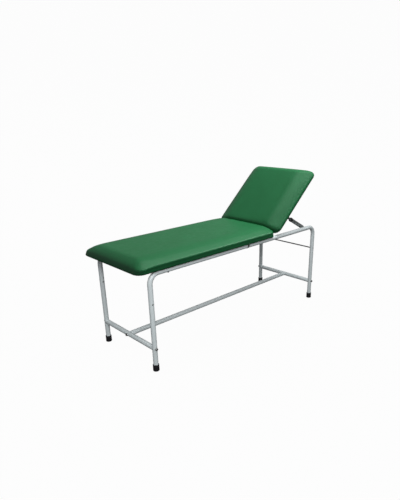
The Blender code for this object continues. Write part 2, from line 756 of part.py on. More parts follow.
def strut_bracket(side, finish, back_pivot):
    """A channel screwed under the backrest board, with a slot in each cheek for the cross pin."""
    y = SIDES[side] * STRUT_Y
    top = BOARD_Z - HINGE_Z - GAP
    x0 = STRUT_ARM - SLOT_TOWARDS_HINGE - STRUT_PIN_R - SLOT_MARGIN
    x1 = STRUT_ARM + SLOT_TOWARDS_TOP + STRUT_PIN_R + SLOT_MARGIN
    bottom = -STRUT_DROP - SLOT_HALF_WIDTH - SLOT_MARGIN
    outer_half = BRACKET_INNER_HALF + BRACKET_THICKNESS
    outline = rectangle(x0, x1, bottom, top)
    bracket = prism(f"strut_bracket_{side}", outline, outer_half, finish, back_pivot, y)
    edge = CUT_MARGIN
    inside = rectangle(x0 - edge, x1 + edge, bottom - edge, top - BRACKET_THICKNESS)
    hollow = prism(f"cut_channel_{side}", inside, BRACKET_INNER_HALF, None, back_pivot, y)
    arc = SLOT_HALF_WIDTH
    first = STRUT_ARM - SLOT_TOWARDS_HINGE - STRUT_PIN_R + arc
    last = STRUT_ARM + SLOT_TOWARDS_TOP + STRUT_PIN_R - arc
    slot = slot_outline(first, last, -STRUT_DROP, arc)
    slots = prism(f"cut_slot_{side}", slot, 2 * outer_half, None, back_pivot, y)
    cut(bracket, hollow, slots)


# -------------------------------------------------------------------------------------- assembly


def make_finishes():
    return {
        "paint": material("pale grey painted steel", (0.46, 0.53, 0.55), 0.35),
        "vinyl": material("green vinyl", (0.045, 0.190, 0.085), 0.45),
        "wood": material("plywood", (0.30, 0.16, 0.08), 0.70),
        "foam": material("foam", (0.80, 0.72, 0.50), 0.90),
        "zinc": material("zinc plated steel", (0.45, 0.46, 0.47), 0.35, 1.0),
        "dark": material("dark lacquered steel", (0.060, 0.050, 0.045), 0.40),
        "steel": material("ground steel", (0.22, 0.23, 0.23), 0.40, 1.0),
        "black": material("black plastic", (0.010, 0.010, 0.011), 0.45),
        "rubber": material("black rubber", (0.012, 0.010, 0.015), 0.65),
    }


def build():
    clear_scene()
    finishes = make_finishes()
    paint, zinc, steel = finishes["paint"], finishes["zinc"], finishes["steel"]

    for end, x in ENDS.items():
        crossbar(end, paint)
        stretcher_fastening(end, zinc, steel)
        for side, sign in SIDES.items():
            rubber_ferrule(f"{end}_{side}", x, sign * LEG_Y, finishes["rubber"])
            leg_fastening(end, side, zinc, steel)
    centre_stretcher(paint)
    paper_roll_rod(steel)

    rails = {side: rail_shape(side) for side in SIDES}
    for side in SIDES:
        side_frame(side, paint)
        strut_stud(side, rails[side], finishes)
    cross_member("rail_tie_foot", FOOT_X + RAIL_TIE_FROM_FOOT, RAIL_Z, paint, rails.values())
    cross_member("rail_tie_hinge", HINGE_X - RAIL_TIE_FROM_HINGE, RAIL_Z, paint, rails.values())

    seat(finishes)
    seat_pivot = pivot("seat_hinge_axis", (HINGE_X, 0, HINGE_Z), 0)
    back_pivot = pivot("backrest_hinge_axis", (HINGE_X, 0, HINGE_Z), BACKREST_REST_DEG)
    back_span = (BACKREST_START, BACKREST_END)
    pad("backrest", back_span, BACKREST_SIDE_HEIGHT, PAD_Z - HINGE_Z, finishes, back_pivot)
    for side in SIDES:
        butt_hinge(side, zinc, seat_pivot, back_pivot)
        strut_bracket(side, zinc, back_pivot)
        strut(side, finishes)


build()
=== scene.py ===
"""Looks for the two-section examination couch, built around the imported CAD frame.

Metres, +Z up, foot end at -X, head end at +X, near side at -Y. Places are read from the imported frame.
"""

import json
import math

import bmesh
import bpy
import numpy as np
from mathutils import Matrix, Vector


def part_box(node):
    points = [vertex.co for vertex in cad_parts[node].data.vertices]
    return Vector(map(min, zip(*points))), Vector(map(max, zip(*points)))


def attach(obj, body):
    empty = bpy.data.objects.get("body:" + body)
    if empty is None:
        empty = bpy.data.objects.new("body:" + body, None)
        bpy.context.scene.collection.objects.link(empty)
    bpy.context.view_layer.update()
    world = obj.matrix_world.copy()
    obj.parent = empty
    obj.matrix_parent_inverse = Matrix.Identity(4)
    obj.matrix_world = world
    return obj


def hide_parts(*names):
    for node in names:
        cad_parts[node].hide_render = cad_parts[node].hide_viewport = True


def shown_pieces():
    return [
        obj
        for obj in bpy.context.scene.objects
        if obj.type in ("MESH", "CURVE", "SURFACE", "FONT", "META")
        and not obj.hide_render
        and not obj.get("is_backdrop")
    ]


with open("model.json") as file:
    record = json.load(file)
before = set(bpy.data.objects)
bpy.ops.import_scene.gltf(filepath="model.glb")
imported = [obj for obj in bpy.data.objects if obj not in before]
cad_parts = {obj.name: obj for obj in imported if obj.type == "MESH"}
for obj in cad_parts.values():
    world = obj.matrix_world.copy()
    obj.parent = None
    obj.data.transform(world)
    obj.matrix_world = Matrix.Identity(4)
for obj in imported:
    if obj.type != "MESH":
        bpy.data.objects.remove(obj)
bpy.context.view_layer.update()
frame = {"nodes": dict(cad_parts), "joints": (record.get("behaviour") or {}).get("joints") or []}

SIDES = {"near": -1, "far": 1}
ENDS = ("foot", "head")
ROUND = 48
SMALL_ROUND = 36
FIT = 0.0003

# ------------------------------------------------------------------ places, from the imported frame


def joint(name):
    return next(j for j in frame["joints"] if j["name"] == name)


def middle(node):
    low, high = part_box(node)
    return (low + high) / 2


def size(node):
    low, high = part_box(node)
    return high - low


leg_x = {end: middle(f"rubber_ferrule_{end}_near").x for end in ENDS}
leg_y = middle("rubber_ferrule_foot_far").y
tube_r = size("side_frame_near").y / 2
rail_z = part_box("side_frame_near")[1].z - tube_r
leg_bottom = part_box("side_frame_near")[0].z
bar_r = size("crossbar_foot").x / 2
bar_z = middle("crossbar_foot").z
hinge = Vector(joint("backrest_hinge")["pos_m"])
rest_tilt = math.radians(42)
seat_low, seat_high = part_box("seat_cover")
strut_foot = {side: Vector(joint(f"{side}_strut_swing")["pos_m"]) for side in SIDES}
strut_axis = Vector(joint("near_strut_extend")["axis"]).normalized()

# ------------------------------------------------------------------------------------ mesh making


def add(name, mesh):
    item = bpy.data.objects.new(name, mesh)
    bpy.context.scene.collection.objects.link(item)
    return item


def smooth(mesh, degrees=35):
    mesh.shade_smooth()
    mesh.set_sharp_from_angle(angle=math.radians(degrees))


def from_bmesh(name, shape, degrees=35):
    bmesh.ops.recalc_face_normals(shape, faces=shape.faces)
    mesh = bpy.data.meshes.new(name)
    shape.to_mesh(mesh)
    shape.free()
    smooth(mesh, degrees)
    return add(name, mesh)


def loft_into(shape, rings, wrap=False):
    """Adds to the bmesh a closed solid through rings of equal point count."""
    loops = [[shape.verts.new(point) for point in ring] for ring in rings]
    pairs = list(zip(loops, loops[1:]))
    if wrap:
        pairs.append((loops[-1], loops[0]))
    else:
        shape.faces.new(loops[0])
        shape.faces.new(loops[-1])
    for low, high in pairs:
        for i in range(len(low)):
            j = (i + 1) % len(low)
            shape.faces.new((low[i], low[j], high[j], high[i]))


def loft(name, rings, wrap=False, degrees=35):
    shape = bmesh.new()
    loft_into(shape, rings, wrap)
    return from_bmesh(name, shape, degrees)


def circle(radius, z=0.0, segments=ROUND):
    turns = [math.tau * i / segments for i in range(segments)]
    return [Vector((radius * math.cos(a), radius * math.sin(a), z)) for a in turns]


def hexagon(flat, z, segments=SMALL_ROUND):
    points = []
    for i in range(segments):
        turn = math.tau * i / segments
        radius = flat / 2 / math.cos(turn % (math.pi / 3) - math.pi / 6)
        points.append(Vector((radius * math.cos(turn), radius * math.sin(turn), z)))
    return points


def placed(ring, matrix):
    return [matrix @ point for point in ring]


def along(axis, origin):
    """The matrix that turns a shape built along Z so that it runs along the axis from the origin."""
    turn = Vector((0, 0, 1)).rotation_difference(Vector(axis)).to_matrix().to_4x4()
    return Matrix.Translation(Vector(origin)) @ turn


def turned(name, profile, matrix=None, wrap=False, segments=ROUND, degrees=35):
    """Solid of revolution through (radius, z) pairs."""
    matrix = matrix or Matrix.Identity(4)
    rings = [placed(circle(r, z, segments), matrix) for r, z in profile]
    return loft(name, rings, wrap, degrees)


def box_into(shape, centre, extent, matrix=None):
    x, y, z = (half / 2 for half in extent)
    rings = []
    for level in (-z, z):
        corners = [(-x, -y), (x, -y), (x, y), (-x, y)]
        ring = [Vector(centre) + Vector((a, b, level)) for a, b in corners]
        rings.append(placed(ring, matrix) if matrix else ring)
    loft_into(shape, rings)


def apply_modifiers(item):
    graph = bpy.context.evaluated_depsgraph_get()
    mesh = bpy.data.meshes.new_from_object(item.evaluated_get(graph))
    item.modifiers.clear()
    item.data = mesh


def subtract(target, tools):
    for tool in tools:
        step = target.modifiers.new("cut", "BOOLEAN")
        step.operation = "DIFFERENCE"
        step.solver = "EXACT"
        step.object = tool
    apply_modifiers(target)
    for tool in tools:
        bpy.data.objects.remove(tool, do_unlink=True)


def bevelled(item, width, segments=2, degrees=35):
    step = item.modifiers.new("bevel", "BEVEL")
    step.width = width
    step.segments = segments
    step.limit_method = "ANGLE"
    apply_modifiers(item)
    smooth(item.data, degrees)
    return item


def dress(item, finish, body, replaced=()):
    if not item.data.materials:
        item.data.materials.append(finish)
    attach(item, body)
    if replaced:
        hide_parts(*replaced)
    return item


# -------------------------------------------------------------------------------------- materials


class Finish:
    """A Principled material with small helpers to build its procedural nodes."""

    def __init__(self, name, **constants):
        self.material = bpy.data.materials.new(name)
        self.material.use_nodes = True
        self.nodes = self.material.node_tree.nodes
        self.links = self.material.node_tree.links
        self.shader = self.nodes["Principled BSDF"]
        self.place = self.nodes.new("ShaderNodeTexCoord").outputs["Object"]
        for socket, value in constants.items():
            self.shader.inputs[socket.replace("_", " ")].default_value = value

    def set(self, socket, value):
        self.shader.inputs[socket].default_value = value

    def into(self, output, socket):
        self.links.new(output, self.shader.inputs[socket])

    def stretched(self, scale):
        node = self.nodes.new("ShaderNodeMapping")
        node.inputs["Scale"].default_value = scale
        self.links.new(self.place, node.inputs["Vector"])
        return node.outputs["Vector"]

    def noise(self, scale, detail=2.0, roughness=0.5, place=None, distortion=0.0):
        node = self.nodes.new("ShaderNodeTexNoise")
        node.inputs["Scale"].default_value = scale
        node.inputs["Detail"].default_value = detail
        node.inputs["Roughness"].default_value = roughness
        node.inputs["Distortion"].default_value = distortion
        self.links.new(place or self.place, node.inputs["Vector"])
        return node.outputs["Fac"]

    def cells(self, scale, feature="F1", place=None):
        node = self.nodes.new("ShaderNodeTexVoronoi")
        node.feature = feature
        node.inputs["Scale"].default_value = scale
        self.links.new(place or self.place, node.inputs["Vector"])
        return node.outputs["Distance"]

    def ramp(self, source, stops):
        """Stops are (position, grey or colour)."""
        node = self.nodes.new("ShaderNodeValToRGB")
        elements = node.color_ramp.elements
        while len(elements) < len(stops):
            elements.new(0.5)
        for element, (position, colour) in zip(elements, stops):
            element.position = position
            tone = (colour,) * 3 if isinstance(colour, (int, float)) else colour
            element.color = (*tone, 1.0)
        self.links.new(source, node.inputs["Fac"])
        return node.outputs["Color"]

    def mix(self, factor, first, second, blend="MIX"):
        node = self.nodes.new("ShaderNodeMix")
        node.data_type = "RGBA"
        node.blend_type = blend
        for value, name in ((factor, "Factor"), (first, "A"), (second, "B")):
            kind = "VALUE" if name == "Factor" else "RGBA"
            socket = next(s for s in node.inputs if s.name == name and s.type == kind)
            if isinstance(value, bpy.types.NodeSocket):
                self.links.new(value, socket)
            elif kind == "VALUE":
                socket.default_value = value
            else:
                socket.default_value = (*value, 1.0)
        return next(s for s in node.outputs if s.type == "RGBA")

    def maths(self, operation, first, second=0.0):
        node = self.nodes.new("ShaderNodeMath")
        node.operation = operation
        for value, socket in ((first, node.inputs[0]), (second, node.inputs[1])):
            if isinstance(value, bpy.types.NodeSocket):
                self.links.new(value, socket)
            else:
                socket.default_value = value
        return node.outputs["Value"]

    def axis(self, name):
        node = self.nodes.new("ShaderNodeSeparateXYZ")
        self.links.new(self.place, node.inputs["Vector"])
        return node.outputs[name]

    def span(self, source, low, high, to_low=0.0, to_high=1.0):
        node = self.nodes.new("ShaderNodeMapRange")
        node.inputs["From Min"].default_value = low
        node.inputs["From Max"].default_value = high
        node.inputs["To Min"].default_value = to_low
        node.inputs["To Max"].default_value = to_high
        self.links.new(source, node.inputs["Value"])
        return node.outputs["Result"]

    def bump(self, height, distance, strength=1.0, over=None):
        node = self.nodes.new("ShaderNodeBump")
        node.inputs["Distance"].default_value = distance
        node.inputs["Strength"].default_value = strength
        self.links.new(height, node.inputs["Height"])
        if over:
            self.links.new(over, node.inputs["Normal"])
        return node.outputs["Normal"]


def vinyl():
    made = Finish("green vinyl", Specular_IOR_Level=0.45, IOR=1.5, Specular_Tint=(0.82, 1.0, 0.92, 1.0))
    mottle = made.noise(7, 3, 0.55)
    base = made.ramp(mottle, [(0.3, (0.0150, 0.154, 0.0510)), (0.7, (0.0184, 0.174, 0.0600))])
    grain = made.cells(620, "SMOOTH_F1")
    pebble = made.ramp(grain, [(0.0, 1.0), (0.75, 0.88)])
    colour = made.mix(1.0, base, pebble, "MULTIPLY")
    made.into(colour, "Base Color")
    sheen = made.noise(34, 4, 0.6)
    made.into(made.span(sheen, 0.3, 0.7, 0.32, 0.40), "Roughness")
    coarse = made.bump(made.noise(55, 3, 0.5), 0.00040, 0.5)
    fine = made.noise(1500, 2, 0.6)
    relief = made.mix(0.35, grain, fine)
    made.into(made.bump(relief, 0.00018, 0.6, over=coarse), "Normal")
    return made.material


def paint():
    made = Finish("pale grey powder coat", Specular_IOR_Level=0.5)
    drift = made.noise(5, 3, 0.5)
    base = made.ramp(drift, [(0.3, (0.700, 0.765, 0.780)), (0.7, (0.735, 0.800, 0.815))])
    speck = made.ramp(made.noise(900, 2, 0.6), [(0.30, 0.94), (0.50, 1.0)])
    colour = made.mix(1.0, base, speck, "MULTIPLY")
    scuff = made.ramp(made.noise(46, 6, 0.72), [(0.66, 0.0), (0.80, 1.0)])
    low_down = made.span(made.axis("Z"), 0.16, 0.04, 0.0, 0.45)
    worn = made.maths("MULTIPLY", scuff, low_down)
    made.into(made.mix(worn, colour, (0.34, 0.355, 0.35)), "Base Color")
    made.into(made.span(made.noise(70, 4, 0.6), 0.3, 0.7, 0.25, 0.34), "Roughness")
    peel = made.bump(made.noise(260, 2, 0.5), 0.00025, 0.35)
    made.into(made.bump(made.noise(1400, 2, 0.5), 0.00008, 0.4, over=peel), "Normal")
    return made.material


def lacquer():
    """Dark brown steel on the seat's screws and saddles, rubbed to a lighter grey here and there."""
    made = Finish("dark lacquered steel", Specular_IOR_Level=0.3)
    drift = made.noise(60, 4, 0.6)
    base = made.ramp(drift, [(0.3, (0.050, 0.040, 0.036)), (0.7, (0.080, 0.066, 0.060))])
    rubbed = made.ramp(made.noise(300, 5, 0.7), [(0.68, 0.0), (0.78, 0.5)])
    made.into(made.mix(rubbed, base, (0.22, 0.21, 0.20)), "Base Color")
    made.into(made.span(made.noise(90, 4, 0.6), 0.3, 0.7, 0.45, 0.60), "Roughness")
    made.into(made.bump(made.noise(800, 2, 0.5), 0.00010, 0.5), "Normal")
    return made.material


def metal(name, dark, light, roughness, scale=(1, 1, 1), spots=90):
    made = Finish(name, Metallic=1.0)
    spangle = made.cells(spots, "F1")
    drift = made.noise(24, 5, 0.6)
    tone = made.mix(0.5, spangle, drift)
    made.into(made.ramp(tone, [(0.2, dark), (0.75, light)]), "Base Color")
    brushed = made.noise(420, 3, 0.6, place=made.stretched(scale))
    made.into(made.span(brushed, 0.3, 0.7, roughness - 0.06, roughness + 0.08), "Roughness")
    made.into(made.bump(brushed, 0.00010, 0.4), "Normal")
    return made.material


def rubber():
    made = Finish("black rubber", Specular_IOR_Level=0.35)
    dust = made.noise(120, 5, 0.7)
    near_floor = made.span(made.axis("Z"), 0.016, 0.0, 0.0, 0.7)
    settled = made.maths("MULTIPLY", made.span(dust, 0.45, 0.75), near_floor)
    stops = [(0.3, (0.0085, 0.0080, 0.0105)), (0.7, (0.0120, 0.0110, 0.0140))]
    body = made.ramp(made.noise(60, 3, 0.5), stops)
    made.into(made.mix(settled, body, (0.055, 0.052, 0.050)), "Base Color")
    made.into(made.span(dust, 0.3, 0.7, 0.48, 0.66), "Roughness")
    made.into(made.bump(made.noise(1100, 2, 0.6), 0.00015, 0.5), "Normal")
    return made.material


def black_plastic():
    made = Finish("black plastic", Specular_IOR_Level=0.5)
    body = made.ramp(made.noise(40, 3, 0.5), [(0.3, (0.006, 0.006, 0.007)), (0.7, (0.010, 0.010, 0.011))])
    made.into(body, "Base Color")
    made.into(made.span(made.noise(80, 4, 0.6), 0.3, 0.7, 0.34, 0.46), "Roughness")
    made.into(made.bump(made.noise(1300, 2, 0.5), 0.00010, 0.5), "Normal")
    return made.material


def plywood():
    made = Finish("plywood", Specular_IOR_Level=0.3)
    fibre = made.noise(60, 6, 0.7, place=made.stretched((1.2, 22, 22)), distortion=0.4)
    figure = made.noise(9, 4, 0.6, place=made.stretched((1, 7, 7)), distortion=1.4)
    tone = made.mix(0.45, fibre, figure)
    stops = [(0.25, (0.225, 0.115, 0.050)), (0.5, (0.345, 0.200, 0.100)), (0.75, (0.440, 0.280, 0.150))]
    made.into(made.ramp(tone, stops), "Base Color")
    made.into(made.span(fibre, 0.3, 0.7, 0.58, 0.74), "Roughness")
    made.into(made.bump(fibre, 0.00030, 0.5), "Normal")
    return made.material


vinyl_finish = vinyl()
paint_finish = paint()
zinc_finish = metal("zinc plated steel", (0.42, 0.43, 0.43), (0.64, 0.65, 0.65), 0.38)
steel_finish = metal("strut steel", (0.30, 0.32, 0.31), (0.72, 0.745, 0.735), 0.44, spots=150)
rod_finish = metal("ground rod", (0.17, 0.175, 0.18), (0.30, 0.31, 0.31), 0.34)
slide_finish = metal("sliding rod steel", (0.30, 0.31, 0.31), (0.52, 0.53, 0.53), 0.32)
# Unpainted steel inside the tube, made near black, far darker than bare steel: painted shade on the wall
# inside the open tubes.
tube_inside_shade_finish = metal("painted shade inside the tube", (0.020, 0.019, 0.018), (0.045, 0.043, 0.040), 0.55)
dark_brown_finish = lacquer()
rubber_finish = rubber()
plastic_finish = black_plastic()
plywood_finish = plywood()

# ------------------------------------------------------------------------------------------ frame

TUBE_WALL = 0.0015
BEND_R = 0.0635
BEND_STEPS = 16
BEND_OVAL = 0.02
BEAD_R = 0.0021
BEAD_RIPPLE = 0.00035
BEAD_RIPPLES = 24
BEAD_STEPS = 96
BEAD_SIDES = 8
BEAD_STANDOFF = 0.0006
BOLT_R = 0.005
BOLT_FLAT = 0.015
BOLT_FLANGE_R = 0.010
BOLT_HEAD_HEIGHT = 0.009
BOLT_TIP = 0.001
SCREW_R = 0.003
SCREW_HEAD = 0.0045
SCREW_POINT = 0.004
RECESS_SLOT = 0.0012
SADDLE_THICKNESS = 0.0015
SADDLE_FILLET = 0.0015
SADDLE_SCREW_HEAD = 0.0018
FERRULE_DRAIN_R = 0.004
FERRULE_GROOVE_Z = 0.0330
DRILL_SIDES = 24


def frame_path():
    """(x, z, heading, bend) up the foot leg, along the rail and down the head leg."""
    foot, head = leg_x["foot"], leg_x["head"]
    corner_z = rail_z - BEND_R
    path = [(foot, leg_bottom, math.pi / 2, 0.0)]
    for centre_x, first in ((foot + BEND_R, math.pi), (head - BEND_R, math.pi / 2)):
        for i in range(BEND_STEPS + 1):
            share = i / BEND_STEPS
            turn = first - math.pi / 2 * share
            x = centre_x + BEND_R * math.cos(turn)
            z = corner_z + BEND_R * math.sin(turn)
            path.append((x, z, turn - math.pi / 2, math.sin(math.pi * share)))
    path.append((head, leg_bottom, -math.pi / 2, 0.0))
    return path


def frame_ring(x, z, heading, bend, y, radius):
    """The tube flattens a little where it is bent."""
    across = Vector((0, 1, 0))
    upward = Vector((-math.sin(heading), 0, math.cos(heading)))
    flat = radius * (1 - BEND_OVAL * bend)
    ring = []
    for i in range(ROUND):
        turn = math.tau * i / ROUND
        ring.append(Vector((x, y, z)) + across * radius * math.cos(turn) + upward * flat * math.sin(turn))
    return ring


def drill(radius, axis, origin, length):
    return turned("drill", [(radius, 0), (radius, length)], along(axis, origin), segments=DRILL_SIDES)


def side_frame(side):
    y = SIDES[side] * leg_y
    path = frame_path()
    outer = [frame_ring(*spot, y, tube_r) for spot in path]
    inner = [frame_ring(*spot, y, tube_r - TUBE_WALL) for spot in reversed(path)]
    item = loft(f"bent_tube_{side}", outer + inner, wrap=True)
    item.data.materials.append(paint_finish)
    # The inner wall of the tube takes the near-black painted shade.
    item.data.materials.append(tube_inside_shade_finish)
    for face in item.data.polygons:
        if len(path) <= face.index // ROUND < 2 * len(path) - 1:
            face.material_index = 1
    rod_r = size("paper_roll_rod").x / 2
    rod_z = middle("paper_roll_rod").z
    holes = []
    for end in ENDS:
        start = (leg_x[end], y - 2 * tube_r, bar_z)
        holes.append(drill(BOLT_R + FIT, (0, 1, 0), start, 4 * tube_r))
        depth = 4 * tube_r if side == "near" else 2 * tube_r
        start = (leg_x[end], y - 2 * tube_r, rod_z)
        holes.append(drill(rod_r + FIT, (0, 1, 0), start, depth))
    x = middle(f"seat_screw_{side}").x
    holes.append(drill(SCREW_R + FIT, (0, 0, 1), (x, y, rail_z - 2 * tube_r), 4 * tube_r))
    subtract(item, holes)
    smooth(item.data, 30)
    dress(item, paint_finish, "frame", [f"side_frame_{side}"])


def saddle_rings(radius, x, z, reach, fit_radius, across):
    """Two rings of a bar along Y, whose ends fit round tubes. across gives the offset that sets the curve."""
    low, high = [], []
    for i in range(ROUND):
        turn = math.tau * i / ROUND
        u, v = radius * math.cos(turn), radius * math.sin(turn)
        offset = u if across == "x" else v
        end = reach - math.sqrt(fit_radius**2 - offset**2)
        low.append(Vector((x + u, -end, z + v)))
        high.append(Vector((x + u, end, z + v)))
    return low, high


def bar_along_y(name, x, z, across, replaced):
    fit_radius = tube_r + FIT
    outer = saddle_rings(bar_r, x, z, leg_y, fit_radius, across)
    inner = saddle_rings(bar_r - TUBE_WALL, x, z, leg_y, fit_radius, across)
    shape = bmesh.new()
    loft_into(shape, [outer[0], outer[1], inner[1], inner[0]], wrap=True)
    if across == "z":
        for side in SIDES.values():
            bead_into(shape, x, z, side)
    dress(from_bmesh(name, shape), paint_finish, "frame", replaced)


def bead_into(shape, x, z, side):
    """A rippled weld bead where a tie tube meets the rail, ground flush under the seat board."""
    reach = bar_r + BEAD_STANDOFF
    rings = []
    for i in range(BEAD_STEPS):
        turn = math.tau * i / BEAD_STEPS
        bead_r = BEAD_R + BEAD_RIPPLE * math.cos(BEAD_RIPPLES * turn)
        u, v = reach * math.cos(turn), reach * math.sin(turn)
        end = leg_y - math.sqrt(max((tube_r + BEAD_STANDOFF) ** 2 - v**2, 0))
        centre = Vector((x + u, side * end, z + v))
        out = Vector((math.cos(turn), 0, math.sin(turn)))
        inward = Vector((0, -side, 0))
        ring = []
        for k in range(BEAD_SIDES):
            a = math.tau * k / BEAD_SIDES
            point = centre + bead_r * (math.cos(a) * out + math.sin(a) * inward)
            point.z = min(point.z, z + tube_r + 0.00002 * k)
            ring.append(point)
        rings.append(ring)
    loft_into(shape, rings, wrap=True)


def stretcher():
    fit_radius = bar_r + FIT
    rings = []
    for radius in (bar_r, bar_r - TUBE_WALL):
        foot_ring, head_ring = [], []
        for i in range(ROUND):
            turn = math.tau * i / ROUND
            y, v = radius * math.cos(turn), radius * math.sin(turn)
            notch = math.sqrt(fit_radius**2 - min(abs(v), fit_radius) ** 2)
            foot_ring.append(Vector((leg_x["foot"] + notch, y, bar_z + v)))
            head_ring.append(Vector((leg_x["head"] - notch, y, bar_z + v)))
        rings.append((foot_ring, head_ring))
    (low, high), (low_in, high_in) = rings
    item = loft("long_stretcher", [low, high, high_in, low_in], wrap=True)
    dress(item, paint_finish, "frame", ["centre_stretcher"])


def ferrule(end, side):
    node = f"rubber_ferrule_{end}_{side}"
    low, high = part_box(node)
    radius, top = (high.x - low.x) / 2, high.z
    bore = tube_r + FIT
    floor = leg_bottom - FIT
    groove_z = FERRULE_GROOVE_Z
    profile = [
        (FERRULE_DRAIN_R, 0.0012),
        (0.0125, 0.0012),
        (0.0138, 0.0),
        (radius - 0.0030, 0.0),
        (radius - 0.0012, 0.0005),
        (radius - 0.0003, 0.0017),
        (radius, 0.0032),
        (radius, 0.0078),
        (radius - 0.0001, 0.0095),
        (radius - 0.0004, 0.0125),
        (radius - 0.0004, groove_z - 0.0012),
        (radius - 0.0011, groove_z - 0.0004),
        (radius - 0.0011, groove_z + 0.0004),
        (radius - 0.0004, groove_z + 0.0012),
        (radius - 0.0004, top - 0.0022),
        (radius - 0.0008, top - 0.0008),
        (radius - 0.0018, top - 0.0001),
        (bore + 0.0004, top),
        (bore, top - 0.0004),
        (bore, floor),
        (FERRULE_DRAIN_R, floor),
    ]
    centre = middle(node)
    item = turned(f"ferrule_{end}_{side}", profile, Matrix.Translation((centre.x, centre.y, 0)))
    dress(item, rubber_finish, "frame", [node])


def flange_bolt(name, node, axis, origin, length):
    """A chamfered hexagon on a round flange, its underside at the origin, with its shank along the axis."""
    flat, top, flange = BOLT_FLAT, -BOLT_HEAD_HEIGHT, BOLT_FLANGE_R
    matrix = along(axis, origin)
    rings = [
        circle(0.0040, top + 0.0006, SMALL_ROUND),
        circle(0.0052, top, SMALL_ROUND),
        circle(flat * 0.470, top, SMALL_ROUND),
    ]
    limit = flat * 0.560
    for drop in (0.0004, 0.0008, 0.0012, 0.0020, 0.0064):
        cone = min(flat * 0.470 + drop * 1.15, limit)
        ring = hexagon(flat, top + drop)
        rings.append([Vector((*(p.xy * min(1, cone / p.xy.length)), p.z)) for p in ring])
    rings += [
        circle(flange - 0.0009, -0.0019, SMALL_ROUND),
        circle(flange - 0.0002, -0.0014, SMALL_ROUND),
        circle(flange, -0.0010, SMALL_ROUND),
        circle(flange, -0.0003, SMALL_ROUND),
        circle(flange - 0.0003, 0, SMALL_ROUND),
        circle(BOLT_R, 0, SMALL_ROUND),
        circle(BOLT_R, length - BOLT_TIP, SMALL_ROUND),
        circle(BOLT_R - BOLT_TIP * 0.8, length, SMALL_ROUND),
    ]
    item = loft(name, [placed(ring, matrix) for ring in rings], degrees=25)
    dress(item, zinc_finish, "frame", [node])


def bolts():
    for end in ENDS:
        for side, sign in SIDES.items():
            node = f"leg_bolt_{end}_{side}"
            origin = (leg_x[end], sign * (leg_y + tube_r + FIT), bar_z)
            length = size(node).y - BOLT_HEAD_HEIGHT
            flange_bolt(f"leg_flange_bolt_{end}_{side}", node, (0, -sign, 0), origin, length)
        sign = -1 if end == "foot" else 1
        node = f"stretcher_bolt_{end}"
        origin = (leg_x[end] + sign * (bar_r + FIT), 0, bar_z)
        length = size(node).x - BOLT_HEAD_HEIGHT
        flange_bolt(f"stretcher_flange_bolt_{end}", node, (-sign, 0, 0), origin, length)


def cross_recess(item, centre, half, depth):
    """Cuts a crosshead recess. The two slots differ a little in depth, so that no faces coincide."""
    tools = []
    for number, extent in enumerate(((half, RECESS_SLOT), (RECESS_SLOT, half))):
        shape = bmesh.new()
        box_into(shape, centre, (*extent, depth + 0.0001 * number))
        tools.append(from_bmesh(f"recess_{number}", shape))
    subtract(item, tools)
    smooth(item.data, 30)


def seat_screw(side):
    node = f"seat_screw_{side}"
    low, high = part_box(node)
    centre = middle(node)
    head_r, head = (high.x - low.x) / 2, SCREW_HEAD
    profile = [
        (0.0012, 0.0001),
        (head_r * 0.55, 0.0005),
        (head_r * 0.80, 0.0013),
        (head_r * 0.95, 0.0026),
        (head_r, head - 0.0004),
        (head_r - 0.0003, head),
        (SCREW_R, head),
        (SCREW_R, high.z - low.z - SCREW_POINT),
        (0.0008, high.z - low.z),
    ]
    matrix = Matrix.Translation((centre.x, centre.y, low.z))
    item = turned(f"pan_screw_{side}", profile, matrix, segments=SMALL_ROUND)
    cross_recess(item, (centre.x, centre.y, low.z), 0.0060, 0.0040)
    dress(item, dark_brown_finish, "frame", [node])


def half_turn(radius, steps=32):
    """(y, z) points round the underside of the rail, from its -Y side to its +Y side."""
    turns = [math.pi * (1 + i / steps) for i in range(steps + 1)]
    return [(radius * math.cos(a), radius * math.sin(a)) for a in turns]


def rail_saddle(side):
    """A pressed strap under the rail, with a screwed ear on each side against the seat board."""
    node = f"seat_saddle_{side}"
    low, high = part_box(node)
    centre = middle(node)
    width, reach = high.x - low.x, (high.y - low.y) / 2
    thickness = SADDLE_THICKNESS
    inner = tube_r + FIT
    outer = inner + thickness
    top = high.z - rail_z
    under = top - thickness
    turned_in, corner = outer + SADDLE_FILLET, under - SADDLE_FILLET
    outline = [(-reach, top), (-reach, under), (-turned_in, under), (-outer, corner)]
    outline += half_turn(outer)
    outline += [(outer, corner), (turned_in, under), (reach, under), (reach, top)]
    outline += [(inner, top)] + half_turn(inner)[::-1] + [(-inner, top)]
    rings = []
    for x in (-width / 2, width / 2):
        rings.append([Vector((centre.x + x, centre.y + y, rail_z + z)) for y, z in outline])
    item = bevelled(loft(f"rail_saddle_{side}", rings), 0.0004)
    dress(item, dark_brown_finish, "frame", [node])
    head = -SADDLE_SCREW_HEAD
    profile = [(0.0010, head), (0.0026, -0.0016), (0.0034, -0.0008), (0.0036, -0.0001), (0.0036, 0.0004)]
    for label, offset in (("outer", 1), ("inner", -1)):
        place = Vector((centre.x, centre.y + SIDES[side] * offset * (outer + reach) / 2, rail_z + under))
        matrix = Matrix.Translation(place)
        screw = turned(f"saddle_screw_{label}_{side}", profile, matrix, segments=SMALL_ROUND)
        cross_recess(screw, place + Vector((0, 0, head)), 0.0036, 0.0016)
        dress(screw, dark_brown_finish, "frame")


